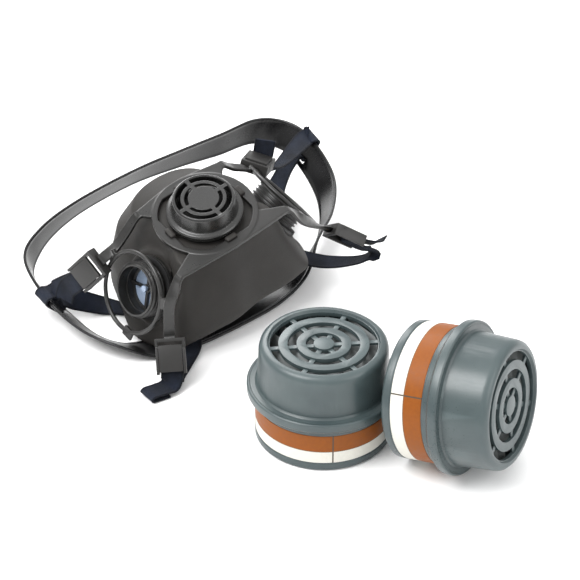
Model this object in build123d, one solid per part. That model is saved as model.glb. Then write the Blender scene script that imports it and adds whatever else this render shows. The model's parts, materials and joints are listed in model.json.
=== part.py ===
from build123d import *
import os
from math import atan2, cos, pi, radians, sin

# Half-mask respirator with two detachable filter cartridges, at rest on a table.
# Millimetres. The mask is drawn in its own frame (x across the face, y chin to nose,
# z out along the exhalation valve) and laid on the table by MASK.

# ---------------------------------------------------------------- rest pose
MASK_CENTRE = (-73.1, -2.3, 93.4)
MASK_PITCH = 13.0
MASK_ROLL = -12.5

# ---------------------------------------------------------------- facepiece
WALL = 2.8
RIM_SLOPE = 0.23
CHIN_LINE = -36.0
LIP_WIDTH = 15.0
LIP_RISE = 7.0
LIP_WALL = 2.2
# level z, slope, chin y, chin half width, cheek half width, temple (x, y), nose side (x, y), nose y
FACE_LEVELS = [
    (-3.1, 0.0, -34.0, 40.0, 30.0, (28.0, 16.0), (18.0, 31.0), 37.0),
    (-18.0, 0.0, -36.5, 45.0, 36.5, (36.0, 28.0), (25.0, 53.0), 61.0),
    (-36.0, 0.08, -40.0, 51.0, 46.5, (45.0, 33.0), (33.0, 64.0), 74.0),
    (-54.0, 0.16, -43.0, 57.0, 58.0, (53.0, 33.0), (37.0, 69.0), 80.0),
    (-70.0, RIM_SLOPE, -45.0, 62.5, 70.5, (59.0, 30.0), (38.0, 72.0), 84.0),
]
LUG_WIDTH = 9.0
LUG_INNER = 26.7
LUG_NECK = 28.0
LUG_OUTER = 31.6

# ---------------------------------------------------------------- harness frame
PLATE_THICK = 2.8
RING_R = 36.0
RING_STEP = 0.4
OPENING_R = 32.0
OPENING_FLAT = 28.2
CHIN_FOLD = (45.6, -31.9)
NOSE_FOLD = (35.0, 28.8)
FOLD_WIDTH = 5.0
ARM_WIDTH = 7.5
ARM_THICK = 2.4
ARM_CLEAR = 0.35
HOOP_R = 28.0
HOOP_SECTION_R = 1.5
HOOP_CENTRE = (65.4, -2.2, -31.4)

# ---------------------------------------------------------------- exhalation valve
SEAT_R = 19.0
SEAT_FLANGE_R = 24.0
VALVE_DISC_R = 17.8
VALVE_DISC_THICK = 0.8
VALVE_LIFT = 1.2
SEAT_HUB_BORE_R = 1.6
SEAT_HUB_LOW = -4.0
COVER_FLANGE_R = 26.3
COVER_BODY_R = 22.4
COVER_TOP_R = 20.9
COVER_HEIGHT = 16.5
COVER_WALL = 1.6
GRILLE_DISC_R = 10.6
GRILLE_SLOTS = [(GRILLE_DISC_R, 13.0), (15.6, 18.9)]
SPOKE_WIDTH = 3.0

# ---------------------------------------------------------------- inhalation ports
PORT_ANGLE = 60.0
PORT_RIM = (63.9, -2.0, -30.8)
PORT_LENGTH = 16.0
PORT_BORE_R = 16.5
PORT_SEAT_R = 15.9
PORT_STEP = 8.4
PORT_ROOT_R = 18.0
THREAD_R = 19.4
THREAD_PITCH = 2.6
THREAD_TURNS = 4
PORT_FLANGE_R = 22.4
BOSS_R = 26.5
INHALE_DISC_R = 15.6
INHALE_TRAVEL = 1.5
VALVE_LEVEL = 2.0
HUB_TOP = 4.6
PORT_FOOT = -5.0
STEM_BORE_R = 1.5
STEM_CLEAR = 0.1

# ---------------------------------------------------------------- buckles and straps
BUCKLE_WIDTH = 20.0
BUCKLE_LENGTH = 24.0
RAIL_WIDTH = 1.8
RAIL_LOW, RAIL_HIGH = -3.6, 4.6
CROSS_BAR_Y = 3.6
LEVER_PIVOT_Y = -6.0
LEVER_PIVOT_Z = 3.6
TRUNNION_R = 1.1
STRAP_WIDTH = 15.0
STRAP_THICK = 1.3
STRAP_RUN = 2.35
STRAP_TURN = 2.35

# ---------------------------------------------------------------- head cradle
BAND_THICK = 2.2
BAND_WIDTH = 23.0
SLOT_WIDTH = 18.0
SLOT_HEIGHT = 4.4

# ---------------------------------------------------------------- cartridges
BASE_R = 44.5
BASE_HEIGHT = 33.0
FLANGE_R = 49.5
FLANGE_THICK = 7.0
CAP_R = 43.0
CARTRIDGE_HEIGHT = 70.0
SOCKET_R = 19.9
SOCKET_DEPTH = 15.0
GASKET_LEVEL = 13.2
SHELL_WALL = 2.0
EDGE_ROUND = 1.5
LABEL_THICK = 0.25
LABEL_LOW, LABEL_HIGH = 6.5, 27.6
GRID_HOLE_R = 1.6
GRID_CIRCLES = [(8, 9.0), (14, 17.0), (20, 25.0), (26, 33.0)]
MEDIA_CLEAR = 0.3
CAP_SLOTS = [(6.6, 11.6), (17.4, 23.2), (29.0, 34.6)]
CAP_SPOKE = 3.2
SPOKE_DROP = 1.3
UPRIGHT_CENTRE = (-79.0, -143.0, 0.0)
LYING_BASE = (-42.4, -188.1)
LYING_HEADING = -65.0


def smooth(points, steps, closed=False):
    """Points on a Catmull-Rom curve through rows of numbers, steps to each span."""
    count = len(points)
    spans = count if closed else count - 1
    out = []
    for i in range(spans):
        if closed:
            rows = [points[(i + k) % count] for k in (-1, 0, 1, 2)]
        else:
            rows = [points[min(max(i + k, 0), count - 1)] for k in (-1, 0, 1, 2)]
        for s in range(steps):
            t = s / steps
            out.append([
                0.5 * (2 * b + (c - a) * t + (2 * a - 5 * b + 4 * c - d) * t ** 2
                       + (3 * b - a - 3 * c + d) * t ** 3)
                for a, b, c, d in zip(*rows)
            ])
    if not closed:
        out.append(list(points[-1]))
    return out


def strip(centres, widths, normals, width, thick):
    """A flat strip: a ruled loft of rectangles across a path."""
    wires = []
    for c, w, n in zip(centres, widths, normals):
        half_w = w.normalized() * (width / 2)
        half_n = n.normalized() * (thick / 2)
        corners = [c - half_w - half_n, c + half_w - half_n, c + half_w + half_n, c - half_w + half_n]
        wires.append(Wire.make_polygon(corners, close=True))
    return Solid.make_loft(wires, ruled=True)


def path_strip(rows, width, thick, steps=4, widths=None):
    """A strip along rows of (x, y, z, width direction x, y, z)."""
    fine = smooth(rows, steps)
    centres = [Vector(*row[:3]) for row in fine]
    sides = [Vector(*row[3:6]) for row in fine]
    normals = []
    flats = []
    for i, side in enumerate(sides):
        ahead = centres[min(i + 1, len(centres) - 1)] - centres[max(i - 1, 0)]
        normal = ahead.cross(side).normalized()
        normals.append(normal)
        flats.append(normal.cross(ahead).normalized())
    return strip(centres, flats, normals, width, thick)


def ring(outer, inner, low, high):
    """A flat ring about z."""
    body = Cylinder(outer, high - low, align=(Align.CENTER, Align.CENTER, Align.MIN))
    hole = Cylinder(inner, high - low + 2, align=(Align.CENTER, Align.CENTER, Align.MIN))
    return Pos(0, 0, low) * body - Pos(0, 0, low - 1) * hole


def disc(radius, low, high):
    return Pos(0, 0, low) * Cylinder(radius, high - low, align=(Align.CENTER, Align.CENTER, Align.MIN))


def block(x0, x1, y0, y1, z0, z1):
    """A box between two corners."""
    return Pos((x0 + x1) / 2, (y0 + y1) / 2, (z0 + z1) / 2) * Box(x1 - x0, y1 - y0, z1 - z0)


def turned(profile):
    """A solid of revolution about z from (radius, height) corners."""
    face = make_face(Polyline(*[(r, 0, z) for r, z in profile], close=True))
    return revolve(face, Axis.Z, 360)


def single(shape):
    """The one solid of a result, or all of its solids as a compound."""
    solids = shape.solids()
    return solids[0] if len(solids) == 1 else Compound(solids)


# ================================================================ placing
MASK = Location(MASK_CENTRE) * Rotation(0, MASK_ROLL, 0) * Rotation(MASK_PITCH, 0, 0)


def port_place(side):
    """Frame of a port: z outwards along the port, origin on the boss face. side -1 left, 1 right."""
    axis = Vector(side * sin(radians(PORT_ANGLE)), 0, cos(radians(PORT_ANGLE)))
    rim = Vector(side * PORT_RIM[0], PORT_RIM[1], PORT_RIM[2])
    return Plane(origin=rim - axis * PORT_LENGTH, x_dir=(0, 1, 0), z_dir=axis).location


def hoop_place(side):
    axis = Vector(side * sin(radians(PORT_ANGLE)), 0, cos(radians(PORT_ANGLE)))
    centre = Vector(side * HOOP_CENTRE[0], HOOP_CENTRE[1], HOOP_CENTRE[2])
    return Plane(origin=centre, x_dir=(0, 1, 0), z_dir=axis).location


# Each buckle: centre, direction from arm to strap, outward direction (mask frame).
BUCKLES = {
    "upper_left": ((-75.8, 34.1, -33.7), (-0.57, 0.36, -0.74), (-0.82, -0.33, 0.47)),
    "lower_left": ((-70.5, -50.5, -49.0), (-0.45, -0.65, -0.62), (-0.36, -0.50, 0.79)),
    "upper_right": ((71.0, 37.0, -34.5), (0.67, 0.52, -0.52), (0.51, 0.19, 0.84)),
    "lower_right": ((87.0, -41.0, -54.5), (0.62, -0.55, -0.56), (0.78, 0.47, 0.40)),
}


def buckle_place(name):
    """Frame of a buckle: y from arm to strap, z outwards."""
    centre, along, out = BUCKLES[name]
    y = Vector(*along).normalized()
    x = y.cross(Vector(*out)).normalized()
    return Plane(origin=centre, x_dir=x, z_dir=x.cross(y)).location


def local_point(place, x, y, z):
    return (place * Pos(x, y, z)).position


def local_direction(place, x, y, z):
    return local_point(place, x, y, z) - place.position


# ================================================================ facepiece
def face_outline(level, inset, drop=0.0):
    """Closed outline of the facepiece at one level, drawn in by inset and moved along z by drop."""
    z, slope, chin_y, chin_w, cheek_w, temple, nose, nose_y = level
    half = [
        (0.0, chin_y), (0.62 * chin_w, chin_y + 1.2), (0.92 * chin_w, chin_y + 6.5),
        (0.7 * chin_w + 0.3 * cheek_w, chin_y + 18.0), (cheek_w, -5.0),
        temple, nose, (0.0, nose_y),
    ]
    outline = half + [(-x, y) for x, y in reversed(half[1:-1])]
    points = []
    for x, y in outline:
        keep = 1 - inset / (x * x + y * y) ** 0.5
        points.append(Vector(x * keep, y * keep, z + drop - slope * (y * keep - CHIN_LINE)))
    return Wire([Edge.make_spline(points, periodic=True)])


def face_solid(inset, top_drop, bottom_drop):
    """The facepiece's outer or inner volume."""
    wires = [face_outline(FACE_LEVELS[0], inset, top_drop)]
    wires += [face_outline(level, inset) for level in FACE_LEVELS[1:]]
    if bottom_drop:
        wires.append(face_outline(FACE_LEVELS[-1], inset, bottom_drop))
    return Solid.make_loft(wires, ruled=True)


def face_lip():
    """The soft sealing lip that turns in from the rim."""
    rim = FACE_LEVELS[-1]
    outer = Solid.make_loft([face_outline(rim, LIP_WIDTH, LIP_RISE), face_outline(rim, 0.4)], ruled=True)
    inner = Solid.make_loft([
        face_outline(rim, LIP_WIDTH + LIP_WALL, LIP_RISE + 0.4), face_outline(rim, 0.4 + LIP_WALL, -0.4),
    ], ruled=True)
    return outer - inner


def facepiece():
    bosses = [port_place(side) * disc(BOSS_R, -30, 0) for side in (-1, 1)]
    cuts = [face_solid(WALL, -WALL, -2), disc(SEAT_R + 0.1, -10, 0)]
    for side in (-1, 1):
        place = port_place(side)
        cuts.append(place * disc(BOSS_R - WALL, -31, -WALL))
        cuts.append(place * (disc(PORT_ROOT_R + 0.1, -WALL - 1, 0) + disc(BOSS_R, 0, 20)))
    lugs = []
    for k in range(4):
        neck = block(LUG_INNER, LUG_NECK, -LUG_WIDTH / 2, LUG_WIDTH / 2, -4.5, 0.7)
        hook = block(LUG_INNER, LUG_OUTER, -LUG_WIDTH / 2, LUG_WIDTH / 2, RING_STEP + 0.1, RING_STEP + 2.1)
        lugs.append(Rotation(0, 0, 90 * k) * (neck + hook))
    body = face_solid(0, 0, 0).fuse(*bosses).cut(*cuts).fuse(face_lip(), *lugs)
    return max(body.solids(), key=lambda s: s.volume)


# ================================================================ harness frame
def frame_plate():
    ring_face = Circle(RING_R)
    chin_x, chin_y = CHIN_FOLD
    nose_x, nose_y = NOSE_FOLD
    half = FOLD_WIDTH / 2
    chin = Polygon(
        (-chin_x, chin_y - half), (0, -RING_R - 0.4), (chin_x, chin_y - half),
        (chin_x, chin_y + half), (24, -18), (-24, -18), (-chin_x, chin_y + half), align=None,
    )
    nose = Polygon(
        (-nose_x, nose_y - half), (-26, 16), (26, 16), (nose_x, nose_y - half),
        (nose_x, nose_y + half), (8, RING_R), (-8, RING_R), (-nose_x, nose_y + half), align=None,
    )
    opening = Circle(OPENING_R) & Rectangle(2 * OPENING_FLAT, 2 * OPENING_FLAT)
    plate = Pos(0, 0, -PLATE_THICK) * extrude(chin + nose + ring_face - opening, PLATE_THICK)
    raised = Pos(0, 0, -PLATE_THICK) * extrude(ring_face - opening, PLATE_THICK + RING_STEP)
    return plate + raised


def arm(rows):
    """An arm of the frame: a strip that widens from the fold to the buckle."""
    fine = smooth(rows, 4)
    wires = []
    for i, row in enumerate(fine):
        centre = Vector(*row[:3])
        ahead = Vector(*fine[min(i + 1, len(fine) - 1)][:3]) - Vector(*fine[max(i - 1, 0)][:3])
        side = Vector(*row[3:6])
        normal = ahead.cross(side).normalized()
        across = normal.cross(ahead).normalized()
        width = FOLD_WIDTH + (ARM_WIDTH - FOLD_WIDTH) * min(1.0, 2.5 * i / len(fine))
        a = across * (width / 2)
        n = normal * (ARM_THICK / 2)
        wires.append(Wire.make_polygon([centre - a - n, centre + a - n, centre + a + n, centre - a + n],
                                       close=True))
    return Solid.make_loft(wires, ruled=True)


def arm_rows(name):
    """Centre and width direction along one arm, from the plate to its buckle."""
    place = buckle_place(name)
    end = local_point(place, 0, -BUCKLE_LENGTH / 2 + 0.9, 0)
    before = local_point(place, 0, -BUCKLE_LENGTH / 2 - 4.0, 0)
    side = 1 if "right" in name else -1
    w = local_direction(place, side, 0, 0)
    mid = -ARM_THICK / 2 - 0.1
    if "upper" in name:
        rows = [
            (side * 31.0, 26.5, mid, 0.1 * side, -1.0, 0.0),
            (side * 36.5, 29.2, mid - 1.2, 0.0, -1.0, 0.0),
            (side * 44.5, 30.4, -12.0, 0.0, -1.0, 0.0),
            (side * 54.5, 29.8, -20.0, 0.0, -1.0, 0.1),
        ]
    else:
        rows = [
            (side * 41.0, -31.5, mid, 0.0, -1.0, 0.0),
            (side * 46.5, -32.0, mid - 2.0, 0.0, -1.0, 0.0),
            (side * 51.5, -33.6, -11.0, side * -0.5, -0.85, 0.0),
            (side * 57.5, -35.2, -20.0, side * -0.7, -0.7, 0.0),
        ]
    w = w if w.Y < 0 else -w
    for point in (before, end):
        rows.append((point.X, point.Y, point.Z, w.X, w.Y, w.Z))
    return rows


def harness_frame():
    body = frame_plate()
    for name in BUCKLES:
        body += arm(arm_rows(name))
    for side in (-1, 1):
        place = hoop_place(side)
        body += place * Torus(HOOP_R, HOOP_SECTION_R)
        body += place * Pos(-10, side * HOOP_R * -0.97, 0) * Box(9, 7, 2.2)
        for angle, reach in ((side * 19.0, 33.5), (180 - side * 23.6, 33.0)):
            body += place * Rotation(0, 0, angle) * block(HOOP_R - 0.5, reach, -4, 4, -1.2, 1.2)
    return max(body.solids(), key=lambda s: s.volume)


# ================================================================ exhalation valve
def exhalation_valve_seat():
    flange = ring(SEAT_FLANGE_R, SEAT_R - 2.6, -3.0, -0.4)
    barrel = ring(SEAT_R, SEAT_R - 2.6, -8.4, 0.9)
    lip = ring(SEAT_R + 1.6, SEAT_R - 0.1, -8.4, -6.1)
    hub = ring(3.2, SEAT_HUB_BORE_R, SEAT_HUB_LOW, 0.4)
    body = flange + barrel + lip + hub
    for k in range(4):
        spoke = block(2.6, SEAT_R - 1.0, -0.9, 0.9, -3.6, -0.6)
        body += Rotation(0, 0, 90 * k) * spoke
    return single(body)


def exhalation_valve_disc():
    knob = SEAT_HUB_LOW - VALVE_LIFT - 0.6
    membrane = disc(VALVE_DISC_R, 1.0, 1.0 + VALVE_DISC_THICK)
    stem = disc(SEAT_HUB_BORE_R - STEM_CLEAR, knob - 0.4, 1.2)
    bulb = disc(SEAT_HUB_BORE_R + 0.8, knob - 1.8, knob)
    return single(membrane + stem + bulb)


def exhalation_valve_cover():
    top = COVER_HEIGHT
    wall = COVER_WALL
    profile = [
        (SEAT_FLANGE_R + 0.3, 0.3), (COVER_FLANGE_R - 0.9, 0.3), (COVER_FLANGE_R, 1.2),
        (COVER_FLANGE_R, 3.9), (COVER_FLANGE_R - 0.9, 4.8), (COVER_BODY_R + 0.6, 5.4),
        (COVER_TOP_R + 0.3, top - 1.2), (COVER_TOP_R - 0.8, top), (COVER_TOP_R - 1.4, top),
        (COVER_TOP_R - 2.0, top - 0.9), (0, top - 0.9), (0, top - 2.5),
        (COVER_TOP_R - wall, top - 2.5), (COVER_BODY_R - wall, 5.0), (SEAT_FLANGE_R + 0.3, 3.4),
    ]
    body = turned(profile)
    for inner, outer in GRILLE_SLOTS:
        slot = ring(outer, inner, top - 4, top + 1)
        for k in range(2):
            slot -= Rotation(0, 0, 90 * k) * Pos(0, 0, top) * Box(60, SPOKE_WIDTH, 12)
        body -= slot
    return single(body)


# ================================================================ inhalation ports
def port_connector():
    """In the port's own frame: z outwards, 0 on the boss face."""
    body = ring(PORT_ROOT_R, PORT_BORE_R, PORT_STEP, PORT_LENGTH)
    body += ring(PORT_ROOT_R, PORT_SEAT_R, PORT_FOOT, PORT_STEP)
    body += ring(PORT_FLANGE_R, PORT_ROOT_R - 0.2, 0.05, 2.2)
    for turn in range(THREAD_TURNS):
        base = PORT_LENGTH - 1.0 - turn * THREAD_PITCH
        ridge = turned([
            (PORT_ROOT_R - 0.3, base - 1.8), (THREAD_R, base - 1.15),
            (THREAD_R, base - 0.65), (PORT_ROOT_R - 0.3, base),
        ])
        body += ridge
    body += ring(PORT_SEAT_R + 0.2, INHALE_DISC_R - 1.4, VALVE_LEVEL, VALVE_LEVEL + 1)
    body += ring(3.0, STEM_BORE_R, VALVE_LEVEL, HUB_TOP)
    for k in range(4):
        spoke = block(2.5, PORT_SEAT_R + 0.4, -0.9, 0.9, VALVE_LEVEL + 0.2, HUB_TOP - 0.2)
        body += Rotation(0, 0, 20 + 90 * k) * spoke
    return single(body)


def port_nut():
    return single(ring(22.0, PORT_ROOT_R + 0.15, -6.4, -WALL - 0.1))


def port_gasket():
    return single(ring(PORT_FLANGE_R - 0.3, PORT_ROOT_R + 0.3, 2.25, 3.6))


def inhalation_valve_disc():
    top = VALVE_LEVEL - 0.1
    knob = HUB_TOP + INHALE_TRAVEL + 0.2
    membrane = disc(INHALE_DISC_R, top - VALVE_DISC_THICK, top)
    stem = disc(STEM_BORE_R - STEM_CLEAR, top - 0.2, knob + 1.0)
    bulb = disc(STEM_BORE_R + 0.8, knob, knob + 1.6)
    return single(membrane + stem + bulb)


# ================================================================ buckles
def buckle_frame():
    """In the buckle's own frame: y from arm to strap, z outwards."""
    x = BUCKLE_WIDTH / 2
    y = BUCKLE_LENGTH / 2
    body = block(-x, x, -y, -y + 2.2, RAIL_LOW, RAIL_HIGH)
    body -= block(-ARM_WIDTH / 2 - ARM_CLEAR, ARM_WIDTH / 2 + ARM_CLEAR, -y - 1, -y + 1.0,
                  -ARM_THICK / 2 - ARM_CLEAR, ARM_THICK / 2 + ARM_CLEAR)
    for side in (-1, 1):
        inner = side * (x - RAIL_WIDTH)
        outer = side * x
        rail = block(min(inner, outer), max(inner, outer), -y + 1, y, RAIL_LOW, RAIL_HIGH)
        pin_hole = Pos(side * x, LEVER_PIVOT_Y, LEVER_PIVOT_Z) * Rotation(0, 90, 0)
        body += rail
        body -= pin_hole * Cylinder(TRUNNION_R + 0.06, 6)
    body += block(-x + 1, x - 1, CROSS_BAR_Y - 1.4, CROSS_BAR_Y + 1.4, -1.4, 1.4)
    return single(body)


def buckle_lever():
    """The cam plate that holds the strap; its trunnions turn in the rails."""
    half = BUCKLE_WIDTH / 2 - RAIL_WIDTH - 0.3
    pivot = Pos(0, LEVER_PIVOT_Y, LEVER_PIVOT_Z) * Rotation(0, 90, 0)
    body = block(-half, half, LEVER_PIVOT_Y - 1.5, BUCKLE_LENGTH / 2 - 1.5, RAIL_HIGH - 1.1, RAIL_HIGH + 0.7)
    body += pivot * Cylinder(1.5, 2 * half)
    body += pivot * Cylinder(TRUNNION_R, BUCKLE_WIDTH - 0.4)
    return single(body)


# ================================================================ head cradle
# centre x, y, z and lean outwards from upright in degrees, anticlockwise from the left end
BAND_ROWS = [
    (-151.0, 108.0, 20.0, 15.0),
    (-153.0, 72.0, 12.0, 42.0),
    (-151.0, 32.0, 8.8, 48.0),
    (-140.0, 6.0, 7.4, 58.0),
    (-120.0, -5.0, 2.2, 88.0),
    (-92.0, -9.0, 2.0, 88.0),
    (-55.0, -7.0, 2.0, 88.0),
    (-20.0, -3.0, 2.8, 84.0),
    (8.0, 4.0, 6.6, 66.0),
    (32.0, 16.0, 14.5, 25.0),
    (59.0, 35.0, 19.0, 26.0),
    (79.0, 62.0, 27.0, 34.0),
    (87.0, 95.0, 37.0, 34.0),
    (86.0, 120.0, 42.0, 24.0),
    (70.0, 140.0, 43.0, -6.0),
    (37.0, 141.0, 42.0, -15.0),
    (2.0, 143.0, 41.0, -25.0),
    (-40.0, 145.0, 38.0, -30.0),
    (-93.0, 138.0, 34.0, -25.0),
    (-130.0, 126.0, 28.0, -8.0),
]
BAND_STEPS = 4
LEFT_LOOP_AT = 1.0
RIGHT_LOOP_AT = 12.25


def band_frames():
    """Centre, along, outward and upward directions round the band."""
    fine = smooth(BAND_ROWS, BAND_STEPS, closed=True)
    count = len(fine)
    frames = []
    for i, row in enumerate(fine):
        centre = Vector(*row[:3])
        along = (Vector(*fine[(i + 1) % count][:3]) - Vector(*fine[i - 1][:3])).normalized()
        flat = Vector(along.Y, -along.X, 0).normalized()
        lean = radians(row[3])
        up = Vector(0, 0, 1) * cos(lean) + flat * sin(lean)
        up = (up - along * up.dot(along)).normalized()
        frames.append((centre, along, along.cross(up), up))
    return frames


def band_place(position):
    """Frame on the band at a fractional row: x back along it, y outwards, z up its width."""
    frames = band_frames()
    centre, along, out, up = frames[round(position * BAND_STEPS) % len(frames)]
    return Plane(origin=centre, x_dir=-along, z_dir=up).location


def head_cradle():
    frames = band_frames()
    count = len(frames)
    halves = []
    for first, last in ((0, count // 2), (count // 2, count)):
        part = [frames[i % count] for i in range(first, last + 1)]
        halves.append(strip([f[0] for f in part], [f[3] for f in part], [f[2] for f in part],
                            BAND_WIDTH, BAND_THICK))
    body = halves[0] + halves[1]
    for position in (LEFT_LOOP_AT, RIGHT_LOOP_AT):
        slot = Pos(0, 0, -BAND_WIDTH / 4) * Box(SLOT_WIDTH, 12, SLOT_HEIGHT)
        body -= band_place(position) * slot
    return max(body.solids(), key=lambda s: s.volume)


# ================================================================ straps
def profile_rows(place, profile):
    """Strap rows from (y, z) points of a frame whose x runs across the strap."""
    w = local_direction(place, 1, 0, 0)
    points = [local_point(place, 0, y, z) for y, z in profile]
    return [(p.X, p.Y, p.Z, w.X, w.Y, w.Z) for p in points]


def buckle_turn(name, from_tail):
    """Strap rows through a buckle, in table frame, in order from the tail or from the load end."""
    profile = [(13.5, STRAP_RUN), (8.0, STRAP_RUN)]
    for k in range(1, 6):
        angle = pi / 2 + k * pi / 6
        profile.append((CROSS_BAR_Y + STRAP_TURN * cos(angle), STRAP_TURN * sin(angle)))
    profile += [(8.0, -STRAP_RUN), (13.5, -STRAP_RUN)]
    rows = profile_rows(MASK * buckle_place(name), profile)
    return rows if from_tail else rows[::-1]


def band_loop(position):
    """Strap rows over the top edge of the band, down outside and back in through its slot."""
    gap = BAND_THICK / 2 + STRAP_THICK / 2 + 0.5
    top = BAND_WIDTH / 2
    low = -BAND_WIDTH / 4
    profile = [
        (-gap - 4.0, top - 3.0), (-gap - 1.2, top + 0.8), (0.0, top + 2.6), (gap + 0.8, top + 0.2),
        (gap + 0.8, 0.0), (gap + 0.6, low + 2.4), (0.9, low), (-1.2, low - 0.2), (-gap - 3.0, low + 0.8),
    ]
    return profile_rows(band_place(position), profile)


def facing(rows):
    """Turn width directions that would flip the strap over between stations."""
    out = [rows[0]]
    for row in rows[1:]:
        last = Vector(*out[-1][3:6])
        side = Vector(*row[3:6])
        if last.dot(side) < 0:
            side = -side
        out.append((*row[:3], side.X, side.Y, side.Z))
    return out


LEFT_TAIL_UPPER = [(-154.0, 55.0, 24.0, -0.2, 0.75, 0.6), (-152.0, 53.5, 33.0, -0.2, 0.75, 0.6)]
LEFT_TO_LOOP = [(-151.0, 60.0, 31.0, -0.1, 0.9, 0.4)]
LEFT_UNDER = [
    (-136.0, 66.0, 10.0, 0.15, 0.6, 0.75),
    (-123.0, 59.0, 4.6, 0.4, 0.75, 0.5),
    (-110.0, 49.0, 1.4, 0.6, 0.8, 0.0),
    (-96.0, 28.0, 1.4, 0.85, 0.5, 0.0),
    (-92.0, 6.0, 4.6, 0.98, -0.1, 0.0),
    (-98.0, -18.0, 5.2, 0.85, -0.5, 0.0),
    (-113.0, -30.0, 2.6, 0.74, -0.67, 0.0),
    (-125.5, -38.5, 1.4, 0.83, -0.56, 0.0),
    (-130.0, -43.5, 1.5, 0.83, -0.56, 0.06),
    (-131.0, -45.0, 3.2, 0.83, -0.56, 0.06),
]
LEFT_TAIL_LOWER = [
    (-137.0, -49.5, 5.0, 0.5, -0.86, 0.0),
    (-145.0, -49.0, 4.4, 0.1, -0.99, 0.0),
    (-152.0, -48.5, 4.6, 0.0, -1.0, 0.0),
    (-154.5, -48.5, 2.8, 0.0, -1.0, 0.0),
    (-151.0, -48.5, 1.3, 0.0, -1.0, 0.0),
    (-140.0, -49.5, 1.3, 0.1, -0.99, 0.0),
]
RIGHT_TAIL_UPPER = [(14.0, 48.0, 97.0, 0.8, -0.6, 0.0)]
RIGHT_TO_LOOP = [(22.0, 62.0, 64.0, 0.7, -0.6, 0.2), (44.0, 76.0, 50.0, 0.5, -0.7, 0.4)]
RIGHT_UNDER = [
    (66.0, 99.0, 26.0, 0.0, -1.0, 0.0),
    (50.0, 87.0, 20.0, 0.4, -0.9, 0.0),
    (32.0, 63.0, 15.0, 0.65, -0.75, 0.0),
    (17.0, 38.0, 17.0, 0.8, -0.6, 0.0),
    (9.0, 12.0, 22.5, 0.95, -0.3, 0.0),
    (20.0, -12.0, 23.0, 0.85, 0.5, 0.1),
    (37.0, -30.0, 27.0, 0.5, 0.8, -0.2),
    (45.0, -37.0, 34.0, 0.1, 0.83, -0.54),
]
RIGHT_TAIL_LOWER = [
    (44.5, -37.2, 42.6, -0.1, -0.82, 0.57),
    (50.0, -37.0, 41.0, -0.1, -0.8, 0.6),
    (54.0, -35.6, 41.6, -0.1, -0.8, 0.6),
]


def strap(rows):
    return single(path_strip(facing(rows), STRAP_WIDTH, STRAP_THICK))


def left_strap():
    rows = LEFT_TAIL_UPPER + buckle_turn("upper_left", True) + LEFT_TO_LOOP
    rows += band_loop(LEFT_LOOP_AT) + LEFT_UNDER
    rows += buckle_turn("lower_left", False) + LEFT_TAIL_LOWER
    return strap(rows)


def right_strap():
    rows = RIGHT_TAIL_UPPER + buckle_turn("upper_right", True) + RIGHT_TO_LOOP
    rows += band_loop(RIGHT_LOOP_AT) + RIGHT_UNDER
    rows += buckle_turn("lower_right", False) + RIGHT_TAIL_LOWER
    return strap(rows)


# ================================================================ filter cartridges
BED_LOW = SOCKET_DEPTH + 4.0
BED_HIGH = BASE_HEIGHT + 1.0
SEAT_LEVEL = BASE_HEIGHT + 3.0
FLANGE_TOP = BASE_HEIGHT + FLANGE_THICK


def cartridge_housing():
    """In the cartridge's own frame: z from the threaded base to the grille."""
    wall = SHELL_WALL
    inner = BASE_R - wall
    tube = SOCKET_R + wall
    shell = turned([
        (SOCKET_R, 0.0), (BASE_R - EDGE_ROUND, 0.0), (BASE_R, EDGE_ROUND), (BASE_R, LABEL_LOW - 1.0),
        (BASE_R - 0.4, LABEL_LOW - 0.6), (BASE_R - 0.4, LABEL_HIGH + 0.6), (BASE_R, LABEL_HIGH + 1.0),
        (BASE_R, BASE_HEIGHT - 1.0),
        (FLANGE_R - EDGE_ROUND, BASE_HEIGHT), (FLANGE_R, BASE_HEIGHT + EDGE_ROUND),
        (FLANGE_R, FLANGE_TOP - 0.8), (FLANGE_R - 0.8, FLANGE_TOP), (FLANGE_R - wall, FLANGE_TOP),
        (FLANGE_R - wall, SEAT_LEVEL), (inner, SEAT_LEVEL), (inner, wall), (tube, wall),
        (tube, SOCKET_DEPTH + wall), (SOCKET_R - 4.0, SOCKET_DEPTH + wall),
        (SOCKET_R - 4.0, SOCKET_DEPTH), (SOCKET_R + 0.4, SOCKET_DEPTH),
        (SOCKET_R + 0.4, GASKET_LEVEL), (SOCKET_R, GASKET_LEVEL),
    ])
    return single(shell)


def perforated(low, high):
    """A round plate with circles of small holes."""
    plate = disc(BASE_R - SHELL_WALL - MEDIA_CLEAR, low, high)
    holes = [disc(GRID_HOLE_R, low - 1, high + 1)]
    for count, radius in GRID_CIRCLES:
        holes += [loc * holes[0] for loc in PolarLocations(radius, count)]
    return single(plate - Compound([h.solid() for h in holes]))


def support_grid():
    """The plate the carbon lies on."""
    return perforated(BED_LOW - 1.3, BED_LOW - 0.1)


def carbon_bed():
    return single(disc(BASE_R - SHELL_WALL - MEDIA_CLEAR, BED_LOW, BED_HIGH))


def retaining_screen():
    """The plate that holds the carbon down."""
    return perforated(BED_HIGH + 0.1, BED_HIGH + 1.1)


def particulate_filter():
    """A pleated pack: a zigzag sheet trimmed to a disc."""
    pitch = 5.0
    low, high = SEAT_LEVEL + 0.6, CARTRIDGE_HEIGHT - 6.5
    radius = CAP_R - SHELL_WALL - 1.2
    count = int(2 * radius / pitch)
    upper = [(-radius - pitch + i * pitch, low + 1.6 if i % 2 else high) for i in range(count + 3)]
    lower = [(x, z - 1.6) for x, z in reversed(upper)]
    face = make_face(Polyline(*[(x, 0, z) for x, z in upper + lower], close=True))
    sheet = extrude(face, amount=radius + 5, both=True)
    return single(sheet & disc(radius, low - 2, high + 2))


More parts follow.
